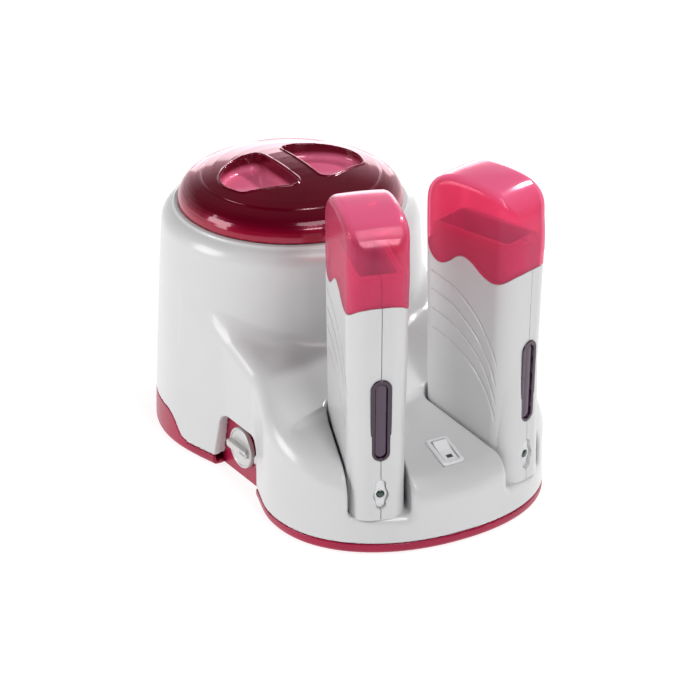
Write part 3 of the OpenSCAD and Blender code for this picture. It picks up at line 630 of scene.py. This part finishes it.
def material(name, rgb, rough, var=0.05, vscale=40.0, bump=0.06, bscale=900.0, rvar=0.05, metal=0.0, spec=0.5, coat=0.0, coat_r=0.1,
             ior=1.5, trans=0.0, alpha=1.0, edge=0.0, rgb2=None, wave=None, sss=0.0, colour_overlay=None, spec_tint=None, clear=None):
    """moulded or metal surface: slow colour drift, fine grain, uneven gloss"""
    m = bpy.data.materials.new(name)
    m.use_nodes = True
    nt = m.node_tree
    nd, lk = nt.nodes, nt.links
    nd.clear()
    out = nd.new("ShaderNodeOutputMaterial")
    b = nd.new("ShaderNodeBsdfPrincipled")
    lk.new(b.outputs[0], out.inputs[0])
    tc = nd.new("ShaderNodeTexCoord")
    n1 = nd.new("ShaderNodeTexNoise")
    n1.inputs["Scale"].default_value = vscale
    n1.inputs["Detail"].default_value = 4
    lk.new(tc.outputs["Object"], n1.inputs["Vector"])
    ramp = nd.new("ShaderNodeValToRGB")
    c = lin(*rgb)
    lo = [v * (1 - var) for v in c]
    hi = [min(1, v * (1 + var)) for v in c] if rgb2 is None else lin(*rgb2)
    ramp.color_ramp.elements[0].position = 0.3
    ramp.color_ramp.elements[0].color = (*lo, 1)
    ramp.color_ramp.elements[1].position = 0.7
    ramp.color_ramp.elements[1].color = (*hi, 1)
    lk.new(n1.outputs["Fac"], ramp.inputs[0])
    lk.new(ramp.outputs[0], b.inputs["Base Color"])
    n2 = nd.new("ShaderNodeTexNoise")
    n2.inputs["Scale"].default_value = vscale * 3.1
    n2.inputs["Detail"].default_value = 3
    lk.new(tc.outputs["Object"], n2.inputs["Vector"])
    mr = nd.new("ShaderNodeMapRange")
    mr.inputs["To Min"].default_value = max(0.02, rough - rvar)
    mr.inputs["To Max"].default_value = min(1.0, rough + rvar)
    lk.new(n2.outputs["Fac"], mr.inputs["Value"])
    lk.new(mr.outputs[0], b.inputs["Roughness"])
    n3 = nd.new("ShaderNodeTexNoise")
    n3.inputs["Scale"].default_value = bscale
    n3.inputs["Detail"].default_value = 2
    lk.new(tc.outputs["Object"], n3.inputs["Vector"])
    h = n3.outputs["Fac"]
    if wave is not None:
        mp = nd.new("ShaderNodeMapping")
        mp.inputs["Scale"].default_value = wave
        lk.new(tc.outputs["Object"], mp.inputs["Vector"])
        n4 = nd.new("ShaderNodeTexNoise")
        n4.inputs["Scale"].default_value = 1.0
        n4.inputs["Detail"].default_value = 3
        lk.new(mp.outputs[0], n4.inputs["Vector"])
        h = n4.outputs["Fac"]
    bp = nd.new("ShaderNodeBump")
    bp.inputs["Strength"].default_value = bump
    bp.inputs["Distance"].default_value = 0.0002
    lk.new(h, bp.inputs["Height"])
    lk.new(bp.outputs[0], b.inputs["Normal"])
    b.inputs["Metallic"].default_value = metal
    b.inputs["Specular IOR Level"].default_value = spec
    b.inputs["IOR"].default_value = ior
    b.inputs["Coat Weight"].default_value = coat
    b.inputs["Coat Roughness"].default_value = coat_r
    b.inputs["Transmission Weight"].default_value = trans
    b.inputs["Alpha"].default_value = alpha
    if spec_tint is not None:
        b.inputs["Specular Tint"].default_value = (*lin(*spec_tint), 1)
        b.inputs["Coat Tint"].default_value = (*lin(*spec_tint), 1)
    if clear is not None:
        # see-through moulding: tinted clearness, less of it towards the edges
        tr = nd.new("ShaderNodeBsdfTransparent")
        lw = nd.new("ShaderNodeLayerWeight")
        lw.inputs["Blend"].default_value = 0.25
        cr = nd.new("ShaderNodeValToRGB")
        cr.color_ramp.elements[0].position = 0.05
        cr.color_ramp.elements[0].color = (*lin(*clear[0]), 1)
        cr.color_ramp.elements[1].position = 0.85
        cr.color_ramp.elements[1].color = (*lin(*clear[1]), 1)
        lk.new(lw.outputs["Facing"], cr.inputs[0])
        lk.new(cr.outputs[0], tr.inputs["Color"])
        mf = nd.new("ShaderNodeMapRange")
        lk.new(lw.outputs["Facing"], mf.inputs["Value"])
        mf.inputs["To Min"].default_value = clear[2]
        mf.inputs["To Max"].default_value = clear[3]
        # painted light: faces that look up are made milkier and paler, standing in for light from above scattering in
        # the moulding
        ge = nd.new("ShaderNodeNewGeometry")
        sp = nd.new("ShaderNodeSeparateXYZ")
        lk.new(ge.outputs["Normal"], sp.inputs[0])
        up = nd.new("ShaderNodeMapRange")
        up.interpolation_type = "SMOOTHSTEP"
        lk.new(sp.outputs["Z"], up.inputs["Value"])
        for k, v in (("From Min", 0.35), ("From Max", 0.95), ("To Min", 0.0), ("To Max", 0.42)):
            up.inputs[k].default_value = v
        ad = nd.new("ShaderNodeMath")
        ad.operation = "ADD"
        ad.use_clamp = True
        lk.new(mf.outputs[0], ad.inputs[0])
        lk.new(up.outputs[0], ad.inputs[1])
        ms = nd.new("ShaderNodeMixShader")
        lk.new(ad.outputs[0], ms.inputs[0])
        lk.new(tr.outputs[0], ms.inputs[1])
        lk.new(b.outputs[0], ms.inputs[2])
        lk.new(ms.outputs[0], out.inputs[0])
    if colour_overlay is not None:
        colour_overlay(nd, lk, tc, ramp, b)
    if sss:
        b.inputs["Subsurface Weight"].default_value = sss
        b.inputs["Subsurface Scale"].default_value = 0.004
    return m


def lid_painted_light(nd, lk, tc, ramp, b):
    """painted light: the lid's pocket floors are painted paler than its dome, standing in for light that comes through
    them
    """
    sep = nd.new("ShaderNodeSeparateXYZ")
    lk.new(tc.outputs["Object"], sep.inputs[0])
    zr = nd.new("ShaderNodeMapRange")
    zr.interpolation_type = "SMOOTHSTEP"
    lk.new(sep.outputs["Z"], zr.inputs["Value"])
    for k, v in (("From Min", 0.1705), ("From Max", 0.1655), ("To Min", 0.0), ("To Max", 1.0)):
        zr.inputs[k].default_value = v
    dy = nd.new("ShaderNodeMath")
    dy.operation = "SUBTRACT"
    lk.new(sep.outputs["Y"], dy.inputs[0])
    dy.inputs[1].default_value = POT_Y * 0.001
    cv = nd.new("ShaderNodeCombineXYZ")
    lk.new(sep.outputs["X"], cv.inputs[0])
    lk.new(dy.outputs[0], cv.inputs[1])
    ln = nd.new("ShaderNodeVectorMath")
    ln.operation = "LENGTH"
    lk.new(cv.outputs[0], ln.inputs[0])
    rr = nd.new("ShaderNodeMapRange")
    lk.new(ln.outputs["Value"], rr.inputs["Value"])
    for k, v in (("From Min", 0.0505), ("From Max", 0.0535), ("To Min", 1.0), ("To Max", 0.0)):
        rr.inputs[k].default_value = v
    mul = nd.new("ShaderNodeMath")
    mul.operation = "MULTIPLY"
    lk.new(zr.outputs[0], mul.inputs[0])
    lk.new(rr.outputs[0], mul.inputs[1])
    # painted light: pale pink mixed in on the pocket floors
    mx = nd.new("ShaderNodeMix")
    mx.data_type = "RGBA"
    lk.new(mul.outputs[0], mx.inputs[0])
    lk.new(ramp.outputs[0], mx.inputs[6])
    mx.inputs[7].default_value = (*lin(250, 184, 208), 1)
    # painted glow: the lower rim is painted a brighter crimson, standing in for light that comes up through it
    zg = nd.new("ShaderNodeMapRange")
    zg.interpolation_type = "SMOOTHSTEP"
    lk.new(sep.outputs["Z"], zg.inputs["Value"])
    for k, v in (("From Min", 0.1660), ("From Max", 0.1535), ("To Min", 0.0), ("To Max", 0.6)):
        zg.inputs[k].default_value = v
    rg = nd.new("ShaderNodeMapRange")
    lk.new(ln.outputs["Value"], rg.inputs["Value"])
    for k, v in (("From Min", 0.0560), ("From Max", 0.0600), ("To Min", 0.0), ("To Max", 1.0)):
        rg.inputs[k].default_value = v
    mg = nd.new("ShaderNodeMath")
    mg.operation = "MULTIPLY"
    lk.new(zg.outputs[0], mg.inputs[0])
    lk.new(rg.outputs[0], mg.inputs[1])
    m2 = nd.new("ShaderNodeMix")
    m2.data_type = "RGBA"
    lk.new(mg.outputs[0], m2.inputs[0])
    lk.new(mx.outputs[2], m2.inputs[6])
    m2.inputs[7].default_value = (*lin(186, 14, 74), 1)
    lk.new(m2.outputs[2], b.inputs["Base Color"])


def mark_tint(nd, lk, tc, ramp, b):
    """small dark rectangle painted near the front end of the rocker"""
    sep = nd.new("ShaderNodeSeparateXYZ")
    lk.new(tc.outputs["Object"], sep.inputs[0])
    prev = None
    for ax, mid, half in (("X", 0.0, 0.0021), ("Y", -0.1307, 0.0013)):
        c = nd.new("ShaderNodeMath")
        c.operation = "COMPARE"
        lk.new(sep.outputs[ax], c.inputs[0])
        c.inputs[1].default_value = mid
        c.inputs[2].default_value = half
        if prev is None:
            prev = c
        else:
            mu = nd.new("ShaderNodeMath")
            mu.operation = "MULTIPLY"
            lk.new(prev.outputs[0], mu.inputs[0])
            lk.new(c.outputs[0], mu.inputs[1])
            prev = mu
    mx = nd.new("ShaderNodeMix")
    mx.data_type = "RGBA"
    lk.new(prev.outputs[0], mx.inputs[0])
    lk.new(ramp.outputs[0], mx.inputs[6])
    mx.inputs[7].default_value = (*lin(62, 62, 64), 1)
    lk.new(mx.outputs[2], b.inputs["Base Color"])


M = {
    "white_shell": material("gloss_white_plastic", (208, 208, 209), 0.30, var=0.012, vscale=25, bump=0.05, bscale=700, coat=0.3, coat_r=0.1),
    "berry_plastic": material("berry_moulded_plastic", (158, 24, 62), 0.34, var=0.10, vscale=30, bump=0.10, bscale=1100, coat=0.15, coat_r=0.15, spec_tint=(255, 190, 210)),
    "wine_lid": material("wine_translucent_plastic", (88, 3, 31), 0.22, var=0.18, vscale=18, bump=0.03, bscale=500, coat=0.8, coat_r=0.07, colour_overlay=lid_painted_light, spec_tint=(255, 158, 190)),
    "pink_cap": material("pink_translucent_plastic", (247, 132, 172), 0.18, var=0.05, vscale=22, bump=0.03, bscale=500, coat=0.6, coat_r=0.07, spec_tint=(255, 215, 228), clear=((253, 182, 208), (226, 104, 140), 0.17, 0.6)),
    "aluminium": material("drawn_aluminium", (205, 205, 207), 0.33, var=0.04, vscale=60, bump=0.25, metal=1.0, wave=(40, 40, 2500)),
    "silver_knob": material("silver_painted_plastic", (205, 204, 203), 0.36, var=0.05, vscale=80, bump=0.08, bscale=2500, metal=0.35, coat=0.3),
    "steel": material("brushed_steel", (190, 191, 194), 0.3, var=0.05, vscale=90, bump=0.3, metal=1.0, wave=(2500, 60, 60)),
    "silicone": material("red_silicone", (176, 62, 48), 0.6, var=0.06, vscale=50, bump=0.2, bscale=900),
    "mica": material("mica_sheet", (186, 158, 108), 0.45, var=0.18, vscale=120, bump=0.4, bscale=400, rgb2=(214, 190, 140)),
    "insulation": material("glass_fibre_wrap", (228, 224, 208), 0.9, var=0.08, vscale=160, bump=0.8, wave=(300, 300, 1400)),
    "black_plastic": material("black_moulded_plastic", (34, 33, 35), 0.42, var=0.12, vscale=60, bump=0.2, bscale=1600),
    "circuit_board": material("green_board", (24, 96, 52), 0.38, var=0.15, vscale=150, bump=0.3, bscale=600),
    "lead_sheath": material("rubber_lead", (30, 30, 32), 0.6, var=0.1, vscale=80, bump=0.2, bscale=1200),
    "rubber": material("foot_rubber", (36, 36, 37), 0.78, var=0.12, vscale=70, bump=0.35, bscale=1500),
    "brass": material("contact_brass", (212, 172, 92), 0.28, var=0.08, vscale=90, bump=0.15, metal=1.0, wave=(900, 900, 3000)),
    "window_frame": material("plum_bezel_plastic", (44, 14, 42), 0.22, var=0.1, vscale=50, bump=0.05, bscale=900, coat=0.5),
    "window_smoke": material("smoked_window_plastic", (66, 42, 68), 0.2, var=0.08, vscale=40, bump=0.04, bscale=800, coat=0.5, coat_r=0.08),
    "lamp_green": material("green_lamp_lens", (10, 44, 34), 0.1, var=0.15, vscale=200, bump=0.03, bscale=900, coat=0.8, coat_r=0.04),
    "white_rocker": material("white_rocker_plastic", (236, 236, 238), 0.26, var=0.012, vscale=60, bump=0.06, bscale=1500, coat=0.3, colour_overlay=mark_tint),
    "white_small": material("white_small_parts", (228, 228, 230), 0.28, var=0.012, vscale=60, bump=0.06, bscale=1500, coat=0.2),
}

SLOT_OF = {s["node"]: s["material_slot"] for s in frame["record"]["subparts"]}
for n, o in frame["nodes"].items():
    mat = M.get(SLOT_OF.get(n, ""), M["black_plastic"])
    if not o.material_slots:
        o.data.materials.append(mat)
    for sl in o.material_slots:
        sl.material = mat

# ------------------------------------------------------------------ pieces
K = 1.0


def report(name, Q):
    print("%-28s %7d quads %6.1f s" % (name, len(Q), time.time() - T0), flush=True)


P, Q, N = skin(house, (-92, -150, 7), (92, 150, 153.5), 1.25 * K)
piece("housing_shell", P, Q, N, "root", ["main_housing"], M["white_shell"])
report("housing_shell", Q)
P, Q, N = skin(tray, (-92, -150, 1), (92, 150, 23.5), 1.3 * K)
piece("tray_shell", P, Q, N, "root", ["base_tray"], M["berry_plastic"])
report("tray_shell", Q)
P, Q, N = skin(lid, (-72.5, POT_Y - 72.5, 146), (72.5, POT_Y + 72.5, 178.7), 0.85 * K)
piece("lid_shell", P, Q, N, "lid", ["pot_lid"], M["wine_lid"])
report("lid_shell", Q)

SP, SQ, SN_ = skin(hand_shell, (0, -41, -0.1), (20.5, 32, 162), 0.58 * K)
CP, CQ, CN = skin(cap, (-20.5, -41, 134), (20.5, 32, 198.6), 0.6 * K)
BP, BQ, BN = skin(window_bezel, (-7.2, -39.5, 37), (7.2, -33, 96.5), 0.42 * K)
LP, LQ, LN = skin(window_lens, (-4.2, -39, 40), (4.2, -33, 93.5), 0.42 * K)
IP, IQ, IN = skin(lamp_insert, (-5, -37, 6), (5, -33, 27.5), 0.3 * K)
DP, DQ, DN = skin(lamp_lens, (-3, -37.5, 13), (3, -29, 20), 0.28 * K)
report("handheld parts", SQ)


def mirrored(A):
    B = A.copy()
    B[:, 0] *= -1
    return B


for side, nm in ((1, "right_"), (-1, "left_")):
    go = docked(side)
    body = nm + "handheld"
    fl = side < 0
    piece(nm + "shell_outer_half", SP, SQ, SN_, body, [nm + "shell_outer"], M["white_shell"], go, fl)
    piece(nm + "shell_inner_half", mirrored(SP), SQ[:, ::-1], mirrored(SN_), body, [nm + "shell_inner"], M["white_shell"], go, fl)
    piece(nm + "cap_cover", CP, CQ, CN, nm + "cap", [nm + "cap"], M["pink_cap"], go, fl)
    piece(nm + "window_surround", BP, BQ, BN, body, [nm + "window_bezel"], M["window_frame"], go, fl)
    piece(nm + "window_pane", LP, LQ, LN, body, [nm + "window_lens"], M["window_smoke"], go, fl)
    piece(nm + "lamp_keyhole", IP, IQ, IN, body, [nm + "lamp_insert"], M["white_small"], go, fl)
    piece(nm + "lamp_dome", DP, DQ, DN, body, [nm + "lamp_lens"], M["lamp_green"], go, fl)

P, Q, N = skin(knob, (-81.5, -21, 10), (-74.4, 7, 38.4), 0.4 * K)
piece("thermostat_dial_knob", P, Q, N, "thermostat_dial", ["thermostat_knob"], M["silver_knob"])
P, Q, N = skin(fuse_cap, (-77, -32, 16), (-73, -20.5, 27.5), 0.3 * K)
piece("fuse_holder_cap", P, Q, N, "fuse", ["fuse_cap"], M["silver_knob"])
P, Q, N = skin(bezel, (-8.5, -138, 42), (8.5, -112, 60), 0.42 * K)
piece("switch_surround", P, Q, N, "root", ["switch_bezel"], M["white_small"])
P, Q, N = skin(rocker, (-5.5, -137, 42), (5.5, -112, 62), 0.4 * K)
piece("switch_paddle", P, Q, N, "rocker", ["switch_rocker"], M["white_rocker"])
report("controls", Q)

# ------------------------------------------------------------------ room, light, camera
def room():
    n = 24
    s = 2.2
    co = []
    for j in range(n + 1):
        for i in range(n + 1):
            x, y = (i / n - 0.5) * 2 * s, (j / n - 0.5) * 2 * s
            z = 0.25 * max(0, math.hypot(x, y) - 1.5) ** 2
            co.append((x, y, z))
    fc = [(j * (n + 1) + i, j * (n + 1) + i + 1, (j + 1) * (n + 1) + i + 1, (j + 1) * (n + 1) + i) for j in range(n) for i in range(n)]
    me = bpy.data.meshes.new("floor")
    me.from_pydata(co, [], fc)
    for p in me.polygons:
        p.use_smooth = True
    o = bpy.data.objects.new("floor", me)
    bpy.context.scene.collection.objects.link(o)
    mat = material("pale_floor", (150, 150, 150), 0.85, var=0.004, vscale=3, bump=0.02, bscale=60, spec=0.1)
    for nd in mat.node_tree.nodes:
        if nd.type == "BSDF_PRINCIPLED":
            nd.inputs["Emission Color"].default_value = (1, 1, 1, 1)
            nd.inputs["Emission Strength"].default_value = 0.86
    me.materials.append(mat)
    return o


room()


def area(name, loc, aim, size, power, col=(1, 1, 1), size_y=None):
    d = bpy.data.lights.new(name, "AREA")
    d.shape = "RECTANGLE"
    d.size = size
    d.size_y = size_y or size
    d.energy = power
    d.color = col
    o = bpy.data.objects.new(name, d)
    bpy.context.scene.collection.objects.link(o)
    o.location = loc
    o.rotation_euler = (Vector(aim) - Vector(loc)).to_track_quat("-Z", "Y").to_euler()
    return o


area("key_right", (1.15, 0.25, 1.2), (0, -0.02, 0.1), 0.17, 13.5)
area("key_front", (-0.12, -1.3, 1.2), (0, -0.08, 0.1), 0.45, 9.5)
area("side_left", (-1.42, 0.5, 0.6), (0, 0, 0.1), 0.7, 12.0, size_y=0.8)
area("top_front", (0.1, -0.75, 1.5), (0, -0.1, 0.1), 0.6, 5.0)
area("rear_low", (0.78, 1.28, 0.3), (0, 0.05, 0.15), 1.0, 3.5, size_y=0.5)

w = bpy.data.worlds.new("studio")
w.use_nodes = True
bg = w.node_tree.nodes["Background"]
bg.inputs[1].default_value = 1.0
# the room: a bright backdrop low behind the object, darker overhead and in front
wn, wl = w.node_tree.nodes, w.node_tree.links
wt = wn.new("ShaderNodeTexCoord")
wx = wn.new("ShaderNodeSeparateXYZ")
wl.new(wt.outputs["Generated"], wx.inputs[0])
dt = wn.new("ShaderNodeVectorMath")
dt.operation = "DOT_PRODUCT"
dt.inputs[1].default_value = (0.64, 0.77, 0)
wl.new(wt.outputs["Generated"], dt.inputs[0])
back = wn.new("ShaderNodeMapRange")
wl.new(dt.outputs["Value"], back.inputs["Value"])
for k, v in (("From Min", -0.15), ("From Max", 0.95), ("To Min", 0.10), ("To Max", 0.95)):
    back.inputs[k].default_value = v
high = wn.new("ShaderNodeMapRange")
wl.new(wx.outputs["Z"], high.inputs["Value"])
for k, v in (("From Min", 0.2), ("From Max", 0.5), ("To Min", 1.0), ("To Max", 0.16)):
    high.inputs[k].default_value = v
wm = wn.new("ShaderNodeMath")
wm.operation = "MULTIPLY"
wl.new(back.outputs[0], wm.inputs[0])
wl.new(high.outputs[0], wm.inputs[1])
wl.new(wm.outputs[0], bg.inputs[0])
bpy.context.scene.world = w

sc = bpy.context.scene
sc.view_settings.view_transform = "Standard"
sc.view_settings.look = "None"

AZ, EL, FPX, DIST, UU, VV = math.radians(-31.24), math.radians(25.73), 4595.07, 3000.0, 37.92, 41.11
fwd = Vector((-math.sin(AZ) * math.cos(EL), math.cos(AZ) * math.cos(EL), -math.sin(EL)))
right = Vector((math.cos(AZ), math.sin(AZ), 0))
up = right.cross(fwd)
pos = (right * UU + up * VV - fwd * DIST + Vector((0, POT_Y, 0))) * 0.001
cd = bpy.data.cameras.new("photo_view")
cd.sensor_width = 36
cd.sensor_fit = "HORIZONTAL"
cd.lens = FPX * 36 / 700
cd.clip_end = 20
cam = bpy.data.objects.new("photo_view", cd)
sc.collection.objects.link(cam)
m = Matrix.Identity(4)
for i in range(3):
    m[i][0], m[i][1], m[i][2], m[i][3] = right[i], up[i], -fwd[i], pos[i]
cam.matrix_world = m
sc.camera = cam

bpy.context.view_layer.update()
print("script", round(time.time() - T0, 1), "s")
